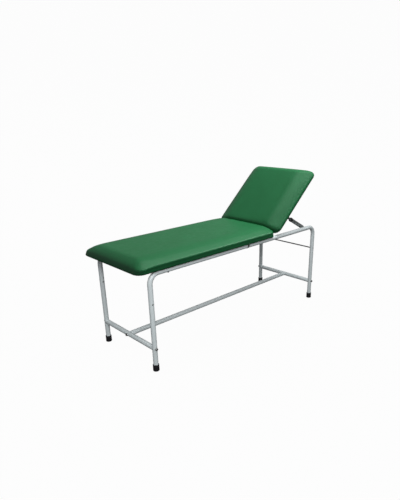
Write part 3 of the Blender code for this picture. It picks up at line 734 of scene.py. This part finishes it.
def roll_rod():
    low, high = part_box("paper_roll_rod")
    radius, length = (high.x - low.x) / 2, high.y - low.y
    centre = middle("paper_roll_rod")
    profile = []
    for z, outward in ((0, 1), (length, -1)):
        steps = [(radius - 0.0014, 0), (radius - 0.0006, 0.0003), (radius - 0.0001, 0.0009), (radius, 0.0016)]
        spots = [(r, z + outward * offset) for r, offset in steps]
        profile += spots if outward > 0 else spots[::-1]
    matrix = along((0, 1, 0), (centre.x, low.y, centre.z))
    item = turned("steel_roll_rod", profile, matrix)
    dress(item, rod_finish, "roll_rod", ["paper_roll_rod"])


def build_frame():
    for side in SIDES:
        side_frame(side)
        for end in ENDS:
            ferrule(end, side)
    for end in ENDS:
        bar_along_y(f"low_crossbar_{end}", leg_x[end], bar_z, "x", [f"crossbar_{end}"])
    for end in ("foot", "hinge"):
        node = f"rail_tie_{end}"
        bar_along_y(f"tie_tube_{end}", middle(node).x, rail_z, "z", [node])
    stretcher()
    bolts()
    for side in SIDES:
        seat_screw(side)
        rail_saddle(side)
    roll_rod()


# ------------------------------------------------------------------------------------- upholstery

BACKREST_END = 0.628
EDGE_R = 0.004
LIP_WIDTH = 0.012
VOXEL = 0.006
SWELL_CAP = 0.004
START_IN = 0.0003
SIDE_OUT = 0.0022
SWELL_FADE = 0.02
LAST_FRAME = 20
EVEN_PASSES = 60
PLEAT_DEPTH = 0.0011
PLEAT_HEIGHT = 0.020
PLEAT_WAVES = 9
SMALLEST_CORNER_R = 0.02
LIP_DEPTH = 0.006
STAPLE_WIDTH = 0.0105
STAPLE_GAUGE = 0.0009
STAPLE_PITCH = 0.042
STAPLE_INSET = 0.0085
STAPLE_FREE_CORNER = 0.08
CORNER_R = 0.050
CREST_R = 0.007
CREST_TURN = 64.0
CORNER_FALL = 0.13


def rounded_outline(x0, x1, half_width, radius, z, steps=14):
    points = []
    centres = (
        (x1 - radius, half_width - radius),
        (x0 + radius, half_width - radius),
        (x0 + radius, radius - half_width),
        (x1 - radius, radius - half_width),
    )
    for quarter, (x, y) in enumerate(centres):
        for i in range(steps + 1):
            turn = math.pi / 2 * (quarter + i / steps)
            points.append(Vector((x + radius * math.cos(turn), y + radius * math.sin(turn), z)))
    return points


def side_profile(side_height, thickness, crown_width, steps=16):
    """(inset, height) pairs across a long side: upright, over a tight crest, then a shallow crown."""
    pairs = [(EDGE_R, 0), (EDGE_R * 0.3, EDGE_R * 0.3), (0, EDGE_R), (0, side_height * 0.55)]
    for i in range(7):
        turn = math.radians(CREST_TURN) * i / 6
        pairs.append((CREST_R * (1 - math.cos(turn)), side_height + CREST_R * math.sin(turn)))
    crest_inset, crest_height = pairs[-1]
    for i in range(1, steps + 1):
        share = i / steps
        rise = 1 - (1 - share) ** 2
        inset = crest_inset + (crown_width - crest_inset) * share
        pairs.append((inset, crest_height + (thickness - crest_height) * rise))
    return pairs


def end_inset(height, thickness, end_round):
    """How far the rounded end of the pad has drawn in at a height."""
    share = max(0.0, (height - EDGE_R) / (thickness - EDGE_R))
    return end_round * (1 - math.sqrt(max(0.0, 1 - share**2)))


def simulate(item, held):
    """Inflates the skin a little, with the held vertices fixed, and returns the moved points."""
    group = item.vertex_groups.new(name="held")
    group.add([int(i) for i in np.flatnonzero(held)], 1.0, "REPLACE")
    cloth = item.modifiers.new("cloth", "CLOTH")
    settings = cloth.settings
    settings.quality = 4
    settings.mass = 0.35
    settings.tension_stiffness = 20
    settings.compression_stiffness = 20
    settings.shear_stiffness = 8
    settings.bending_stiffness = 0.6
    settings.use_pressure = True
    settings.uniform_pressure_force = 4
    settings.vertex_group_mass = "held"
    settings.effector_weights.gravity = 0
    cloth.collision_settings.use_collision = False
    scene = bpy.context.scene
    for number in range(1, LAST_FRAME + 1):
        scene.frame_set(number)
    graph = bpy.context.evaluated_depsgraph_get()
    result = item.evaluated_get(graph).to_mesh()
    moved = np.zeros(len(result.vertices) * 3)
    result.vertices.foreach_get("co", moved)
    item.evaluated_get(graph).to_mesh_clear()
    item.modifiers.clear()
    scene.frame_set(1)
    return moved.reshape(-1, 3)


def points_of(mesh):
    flat = np.zeros(len(mesh.vertices) * 3)
    mesh.vertices.foreach_get("co", flat)
    return flat.reshape(-1, 3)


def set_points(mesh, points):
    mesh.vertices.foreach_set("co", points.astype(np.float32).ravel())
    mesh.update()


def evened(mesh, shift):
    """Averages each point's movement with its neighbours', so taut vinyl swells without puckers."""
    ends = np.zeros(len(mesh.edges) * 2, dtype=np.int32)
    mesh.edges.foreach_get("vertices", ends)
    first, second = ends.reshape(-1, 2).T
    count = np.bincount(ends, minlength=len(shift))[:, None]
    for _ in range(EVEN_PASSES):
        total = np.zeros_like(shift)
        for axis in range(3):
            total[:, axis] = np.bincount(first, shift[second, axis], len(shift))
            total[:, axis] += np.bincount(second, shift[first, axis], len(shift))
        shift = (shift + total / count) / 2
    return shift


def cushion(name, x0, x1, half_width, thickness, shape):
    """A crowned closed cushion that lies flat on Z = 0, its length along X."""
    side_height, crown_width, rounds = shape
    rings = []
    for inset, height in side_profile(side_height, thickness - START_IN, crown_width):
        shrunk = (START_IN - SIDE_OUT) * min(1, height / side_height)
        inset += shrunk
        ends = []
        for end_round in rounds:
            drawn = end_inset(height, thickness - START_IN, end_round) + shrunk
            ends.append(max(drawn, EDGE_R - height) if height < EDGE_R else drawn)
        radius = max(CORNER_R - 0.25 * inset, SMALLEST_CORNER_R)
        rings.append(rounded_outline(x0 + ends[0], x1 - ends[1], half_width - inset, radius, height))
    item = loft(name, rings)
    remesh = item.modifiers.new("remesh", "REMESH")
    remesh.mode = "VOXEL"
    remesh.voxel_size = VOXEL
    apply_modifiers(item)
    start = points_of(item.data)
    held = start[:, 2] < EDGE_R * 0.75
    shift = evened(item.data, simulate(item, held) - start)
    length = np.linalg.norm(shift, axis=1, keepdims=True)
    shift *= np.minimum(1.0, SWELL_CAP / np.maximum(length, 1e-9))
    set_points(item.data, start + shift * np.clip(start[:, 2:3] / SWELL_FADE, 0, 1))
    relax = item.modifiers.new("relax", "SMOOTH")
    relax.factor = 0.5
    relax.iterations = 2
    step = item.modifiers.new("finer", "SUBSURF")
    step.levels = 1
    apply_modifiers(item)
    item.data.shade_smooth()
    return item


def corner_pleats(item, x0, x1, half_width, corner_r):
    """Small folds where the vinyl is gathered round each corner and under the edge."""
    points = points_of(item.data)
    for x, sx in ((x0 + corner_r, -1), (x1 - corner_r, 1)):
        for sy in (-1, 1):
            u = (points[:, 0] - x) * sx
            v = (points[:, 1] - sy * (half_width - corner_r)) * sy
            turn = np.arctan2(v, u)
            inside = (u > -0.012) & (v > -0.012)
            wave = np.sin(2 * PLEAT_WAVES * turn)
            fade = np.clip(1 - points[:, 2] / PLEAT_HEIGHT, 0, 1) ** 1.5
            edge = np.clip(np.minimum(turn, math.pi / 2 - turn) / 0.25, 0, 1)
            reach = np.clip((np.hypot(u, v) - corner_r * 0.35) / (corner_r * 0.5), 0, 1)
            size_m = PLEAT_DEPTH * wave * fade * edge * reach * inside
            points[:, 0] += size_m * np.cos(turn) * sx
            points[:, 1] += size_m * np.sin(turn) * sy
    set_points(item.data, points)


def lower_corners(item, end_x, half_width, share):
    """The stuffing is thinner toward the two corners of an end, so the crest falls away there."""
    points = points_of(item.data)
    from_end = np.clip(1 - np.abs(points[:, 0] - end_x) / CORNER_FALL, 0, 1)
    from_side = np.clip(1 - (half_width - np.abs(points[:, 1])) / CORNER_FALL, 0, 1)
    near = (from_end * from_side) ** 1.5
    points[:, 2] *= 1 - share * near
    set_points(item.data, points)


def recess(item, x0, x1, half_width, corner_r, depth):
    """Cuts the underside back to the lip of vinyl that is stapled under the board."""
    outline = (x0 + LIP_WIDTH, x1 - LIP_WIDTH, half_width - LIP_WIDTH, corner_r - LIP_WIDTH)
    rings = [rounded_outline(*outline, z) for z in (-0.02, depth)]
    subtract(item, [loft("lip_cut", rings)])
    item.data.shade_smooth()
    item.data.set_sharp_from_angle(angle=math.radians(50))


def staple_strip(name, x0, x1, half_width, z, matrix, body):
    """Wire staples that hold the lip of vinyl to the board."""
    shape = bmesh.new()
    inset, free = STAPLE_INSET, STAPLE_FREE_CORNER
    rows = []
    long_run, wide_run = x1 - x0 - 2 * free, 2 * (half_width - free)
    long_count = int(long_run / STAPLE_PITCH)
    for sign in (-1, 1):
        for i in range(long_count + 1):
            x = x0 + free + long_run * i / long_count
            rows.append((x, sign * (half_width - inset), (STAPLE_WIDTH, STAPLE_GAUGE)))
    wide_count = int(wide_run / STAPLE_PITCH)
    for x in (x0 + inset, x1 - inset):
        for i in range(wide_count + 1):
            y = free - half_width + wide_run * i / wide_count
            rows.append((x, y, (STAPLE_GAUGE, STAPLE_WIDTH)))
    for x, y, (a, b) in rows:
        box_into(shape, (x, y, z - 0.0002), (a, b, STAPLE_GAUGE), matrix)
    item = from_bmesh(name, shape)
    bevelled(item, 0.00025)
    dress(item, zinc_finish, body)


def upholster(part, x0, x1, shape, low_corners, matrix, body):
    half_width = size("seat_cover").y / 2
    thickness = size("seat_cover").z
    item = cushion(f"{part}_cushion", x0, x1, half_width, thickness, shape)
    low_end, fall = low_corners
    lower_corners(item, x1 if low_end == "head" else x0, half_width, fall)
    corner_pleats(item, x0, x1, half_width, CORNER_R)
    recess(item, x0, x1, half_width, CORNER_R, LIP_DEPTH)
    item.data.transform(matrix)
    dress(item, vinyl_finish, body, [f"{part}_cover", f"{part}_foam"])
    staple_strip(f"{part}_staples", x0, x1, half_width, 0.0, matrix, body)
    frame["nodes"][f"{part}_board"].data.materials[0] = plywood_finish


# Height of the upright side, width of the crown, and how far each rounded end draws in.
SEAT_SHAPE = (0.034, 0.135, (0.092, 0.030))
BACKREST_SHAPE = (0.018, 0.135, (0.030, 0.070))
# The end whose corners are lower, and the share of the height that they lose.
SEAT_FALL = ("foot", 0.30)
BACKREST_FALL = ("head", 0.12)


def build_upholstery():
    seat_matrix = Matrix.Translation((0, 0, seat_low.z))
    upholster("seat", seat_low.x, seat_high.x, SEAT_SHAPE, SEAT_FALL, seat_matrix, "frame")
    tilt = Matrix.Rotation(-rest_tilt, 4, "Y")
    lift = Matrix.Translation((0, 0, seat_low.z - hinge.z))
    back_matrix = Matrix.Translation(hinge) @ tilt @ lift
    gap = hinge.x - seat_high.x
    upholster("backrest", gap, BACKREST_END, BACKREST_SHAPE, BACKREST_FALL, back_matrix, "backrest")


# -------------------------------------------------------------------------------- struts and trim

STRUT_TUBE_SPAN = (0.0135, 0.191)
STRUT_TUBE_R = 0.015
RIB_PITCH = 0.0059
RIB_DEPTH = 0.00035
COLLAR_SPAN = (0.184, 0.198)
COLLAR_R = 0.0165
STRUT_ROD_R = 0.009
STRUT_ROD_LENGTH = 0.174
STRUT_EYE_R = 0.008
FOOT_EYE_R = 0.011
LEAF_UNDERSIDE = 0.000875
LEAF_SCREW_X = (0.020, 0.036)
LEAF_SCREW_Y = 0.020
LEAF_SCREW_R = 0.0038
BRACKET_UNDERSIDE = 0.002175
BRACKET_SCREW_X = (0.182, 0.2155)
BRACKET_SCREW_R = 0.0042


def eye_rings(radius, width, bore, matrix):
    half, ease = width / 2, 0.0007
    profile = [(bore, -half), (bore, half), (radius - ease, half), (radius, half - ease)]
    profile += [(radius, ease - half), (radius - ease, -half)]
    return [placed(circle(r, z), matrix) for r, z in profile]


def strut_tube(side, matrix):
    start, end = STRUT_TUBE_SPAN
    count = round((end - start) / RIB_PITCH)
    profile = [(STRUT_TUBE_R - 0.0006, start), (STRUT_TUBE_R, start + 0.0006)]
    for i in range(1, count):
        z = start + (end - start) * i / count
        profile += [(STRUT_TUBE_R, z - RIB_PITCH * 0.2), (STRUT_TUBE_R - RIB_DEPTH, z)]
        profile.append((STRUT_TUBE_R, z + RIB_PITCH * 0.2))
    inner = STRUT_TUBE_R - TUBE_WALL
    profile += [(STRUT_TUBE_R, end), (inner, end), (inner, start)]
    item = turned(f"strut_outer_tube_{side}", profile, matrix, wrap=True, degrees=60)
    dress(item, steel_finish, f"{side}_strut_tube", [f"strut_tube_{side}"])


def strut_collar(side, matrix):
    start, end = COLLAR_SPAN
    over_rod, over_tube = STRUT_ROD_R + FIT, STRUT_TUBE_R + FIT
    step = STRUT_TUBE_SPAN[1] + FIT
    profile = [(COLLAR_R - 0.0005, start), (COLLAR_R, start + 0.0005)]
    for groove in (0.0045, 0.0075):
        z = start + groove
        profile += [(COLLAR_R, z - 0.0006), (COLLAR_R - 0.0005, z), (COLLAR_R, z + 0.0006)]
    profile += [
        (COLLAR_R, end - 0.0024),
        (COLLAR_R - 0.0005, end - 0.0010),
        (COLLAR_R - 0.0015, end - 0.0002),
        (COLLAR_R - 0.0025, end),
        (over_rod, end),
        (over_rod, step),
        (over_tube, step),
        (over_tube, start),
    ]
    item = turned(f"strut_end_collar_{side}", profile, matrix, wrap=True)
    dress(item, plastic_finish, f"{side}_strut_tube", [f"strut_collar_{side}"])


def strut_rod(side, matrix):
    length = (middle(f"strut_cross_pin_{side}") - strut_foot[side]).length
    low = length - STRUT_ROD_LENGTH
    shape = bmesh.new()
    profile = [(STRUT_ROD_R - 0.001, low), (STRUT_ROD_R, low + 0.001), (STRUT_ROD_R, length - 0.0140)]
    profile += [(STRUT_ROD_R - 0.0006, length - 0.0115), (0.0060, length - 0.0080), (0.0045, length - 0.0060)]
    loft_into(shape, [placed(circle(r, z), matrix) for r, z in profile])
    across = matrix @ Matrix.Translation((0, 0, length)) @ along((0, 1, 0), (0, 0, 0))
    loft_into(shape, eye_rings(STRUT_EYE_R, 0.009, 0.0043, across), wrap=True)
    item = from_bmesh(f"strut_sliding_rod_{side}", shape)
    dress(item, slide_finish, f"{side}_strut_rod", [f"strut_rod_{side}"])


def strut_foot_fitting(side, matrix):
    shape = bmesh.new()
    neck = [(0.0047, 0.0060), (0.0047, 0.0130), (0.0060, 0.0142), (0.0130, 0.0148), (0.0130, 0.0280)]
    loft_into(shape, [placed(circle(r, z), matrix) for r, z in neck])
    across = matrix @ along((0, 1, 0), (0, 0, 0))
    loft_into(shape, eye_rings(FOOT_EYE_R, 0.010, 0.0053, across), wrap=True)
    item = from_bmesh(f"strut_foot_fitting_{side}", shape)
    dress(item, steel_finish, f"{side}_strut_tube", [f"strut_foot_eye_{side}"])


def trim_screws(name, spots, radius, matrix, body):
    """Low domed screw heads whose flat sides are against a plate. Spots are in the plate's own frame."""
    shape = bmesh.new()
    for spot in spots:
        place = matrix @ Matrix.Translation(spot)
        profile = [(radius * 0.3, -0.0014), (radius * 0.7, -0.0012), (radius * 0.95, -0.0006), (radius, 0.0)]
        loft_into(shape, [placed(circle(r, z, SMALL_ROUND), place) for r, z in profile])
    dress(from_bmesh(name, shape), zinc_finish, body)


def build_struts():
    raised = Matrix.Translation(hinge) @ Matrix.Rotation(-rest_tilt, 4, "Y")
    level = Matrix.Translation(hinge)
    for side in SIDES:
        matrix = along(strut_axis, strut_foot[side])
        strut_tube(side, matrix)
        strut_collar(side, matrix)
        strut_rod(side, matrix)
        strut_foot_fitting(side, matrix)
        y = middle(f"hinge_seat_leaf_{side}").y
        grid = [(x, y + across) for x in LEAF_SCREW_X for across in (-LEAF_SCREW_Y, LEAF_SCREW_Y)]
        seat_spots = [(-x, b, LEAF_UNDERSIDE) for x, b in grid]
        back_spots = [(x, b, LEAF_UNDERSIDE) for x, b in grid]
        trim_screws(f"hinge_seat_screws_{side}", seat_spots, LEAF_SCREW_R, level, "frame")
        trim_screws(f"hinge_back_screws_{side}", back_spots, LEAF_SCREW_R, raised, "backrest")
        y = strut_foot[side].y
        spots = [(x, y, BRACKET_UNDERSIDE) for x in BRACKET_SCREW_X]
        trim_screws(f"bracket_screws_{side}", spots, BRACKET_SCREW_R, raised, "backrest")


# ---------------------------------------------------------------------------------- camera, stage

CAMERA_PLACE = Vector((-2.1351, -2.2637, 1.4770))
CAMERA_AZIMUTH = -45.645
CAMERA_ELEVATION = 20.969
CAMERA_ROLL = -0.266
CAMERA_LENS = 31.159
CAMERA_SHIFT = (-0.06374, 0.0684)


def camera():
    data = bpy.data.cameras.new("camera")
    data.sensor_width = 36
    data.lens = CAMERA_LENS
    data.shift_x, data.shift_y = CAMERA_SHIFT
    data.clip_end = 100
    item = add("camera", data)
    a, e = math.radians(CAMERA_AZIMUTH), math.radians(CAMERA_ELEVATION)
    back = Vector((math.sin(a) * math.cos(e), -math.cos(a) * math.cos(e), math.sin(e)))
    item.rotation_mode = "QUATERNION"
    facing = (-back).to_track_quat("-Z", "Y")
    roll = Matrix.Rotation(math.radians(CAMERA_ROLL), 4, "Z").to_quaternion()
    item.rotation_quaternion = facing @ roll
    item.location = CAMERA_PLACE
    bpy.context.scene.camera = item


FLOOR_TONE = (0.08, 0.08, 0.08)
FLOOR_GLOW = 0.965
FLOOR_R = 7.0
WALL_BEND_R = 3.0
WALL_TOP = 9.0
WALL_STEPS = 16
FLOOR_SIDES = 96


def floor():
    """A round studio floor that curves up into a wall."""
    profile = [(0.5, 0.0), (3.0, 0.0), (FLOOR_R, 0.0)]
    for i in range(1, WALL_STEPS + 1):
        turn = math.pi / 2 * i / WALL_STEPS
        profile.append((FLOOR_R + WALL_BEND_R * math.sin(turn), WALL_BEND_R * (1 - math.cos(turn))))
    profile.append((FLOOR_R + WALL_BEND_R, WALL_TOP))
    shape = bmesh.new()
    loops = [[shape.verts.new(p) for p in circle(r, z, FLOOR_SIDES)] for r, z in profile]
    shape.faces.new(loops[0])
    for low, high in zip(loops, loops[1:]):
        for i in range(len(low)):
            j = (i + 1) % len(low)
            shape.faces.new((low[i], low[j], high[j], high[i]))
    item = from_bmesh("studio_floor", shape, 60)
    item.data.flip_normals()
    finish = Finish("pale floor", Specular_IOR_Level=0.0, Roughness=1.0)
    finish.set("Base Color", (*FLOOR_TONE, 1))
    finish.set("Emission Color", (1, 1, 1, 1))
    finish.set("Emission Strength", FLOOR_GLOW)
    item.data.materials.append(finish.material)
    item.visible_glossy = False
    item.visible_diffuse = False
    item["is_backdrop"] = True


WORLD_BELOW = 0.05
WORLD_ABOVE = 0.22
WORLD_TONE = (0.97, 1.0, 1.0, 1)
HORIZON = 0.25
# Place, target, width and height, and power of each lamp.
OVERHEAD = ((0.2, -0.3, 3.6), (0, 0, 0.6), 3.0, 2.2, 94)
PAD_KEY = ((1.8, -0.7, 4.2), (0, 0, 0.7), 3.0, 2.2, 228)
PAD_GLOSS = ((0.2, -0.3, 3.6), (0, 0, 0.6), 3.0, 2.2, 26)
FRAME_FILL = ((-2.2, -2.6, 2.5), (0, 0, 0.4), 2.0, 2.0, 90)
CREST_GLOSS = ((2.4, -0.9, 3.2), (0, -0.3, 0.7), 1.3, 1.3, 27)
SIDE_GLOSS = ((-0.3, -2.6, 3.0), (0.5, -0.3, 0.9), 1.2, 1.2, 1.0)


def area_light(name, place, target, width, height, power, only, gloss_only=False):
    """The light reaches just the pieces in only, as a flagged lamp does in a studio."""
    data = bpy.data.lights.new(name, "AREA")
    data.shape = "RECTANGLE"
    data.size, data.size_y = width, height
    data.energy = power
    item = add(name, data)
    item.location = place
    item.rotation_mode = "QUATERNION"
    item.rotation_quaternion = (Vector(target) - Vector(place)).to_track_quat("-Z", "Y")
    item.visible_diffuse = not gloss_only
    receivers = bpy.data.collections.new(f"{name} receivers")
    for piece in only:
        receivers.objects.link(piece)
    item.light_linking.receiver_collection = receivers
    return item


def lights():
    world = bpy.data.worlds.new("studio")
    bpy.context.scene.world = world
    world.use_nodes = True
    nodes, links = world.node_tree.nodes, world.node_tree.links
    direction = nodes.new("ShaderNodeTexCoord").outputs["Generated"]
    split = nodes.new("ShaderNodeSeparateXYZ")
    links.new(direction, split.inputs["Vector"])
    rise = nodes.new("ShaderNodeMapRange")
    rise.interpolation_type = "SMOOTHSTEP"
    rise.inputs["From Min"].default_value = -HORIZON
    rise.inputs["From Max"].default_value = HORIZON
    rise.inputs["To Min"].default_value = WORLD_BELOW
    rise.inputs["To Max"].default_value = WORLD_ABOVE
    links.new(split.outputs["Z"], rise.inputs["Value"])
    background = nodes["Background"]
    background.inputs["Color"].default_value = WORLD_TONE
    links.new(rise.outputs["Result"], background.inputs["Strength"])
    hard, soft = [], []
    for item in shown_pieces():
        covered = item.data.materials and item.data.materials[0] == vinyl_finish
        (soft if covered else hard).append(item)
    seat = [item for item in soft if item.name.startswith("seat")]
    area_light("overhead", *OVERHEAD, hard)
    key = area_light("pad_key", *PAD_KEY, soft)
    key.visible_glossy = False
    area_light("pad_gloss", *PAD_GLOSS, soft, gloss_only=True)
    area_light("frame_fill", *FRAME_FILL, hard)
    area_light("crest_gloss", *CREST_GLOSS, seat, gloss_only=True)
    area_light("side_gloss", *SIDE_GLOSS, soft, gloss_only=True)
    scene = bpy.context.scene
    scene.view_settings.view_transform = "Standard"
    scene.view_settings.look = "None"


# ------------------------------------------------------------------------------------------ whole


def finish_other_nodes():
    """The CAD nodes that stay in view get procedural finishes."""
    finishes = {
        "hinge_": zinc_finish,
        "strut_bracket": zinc_finish,
        "strut_cross_pin": zinc_finish,
        "strut_nut": zinc_finish,
        "strut_stud": zinc_finish,
        "strut_spacer": plastic_finish,
        "crossbar_insert": steel_finish,
        "stretcher_insert": steel_finish,
    }
    for node, item in frame["nodes"].items():
        for start, finish in finishes.items():
            if node.startswith(start):
                item.data.materials[0] = finish


camera()
floor()
build_frame()
build_upholstery()
build_struts()
finish_other_nodes()
lights()
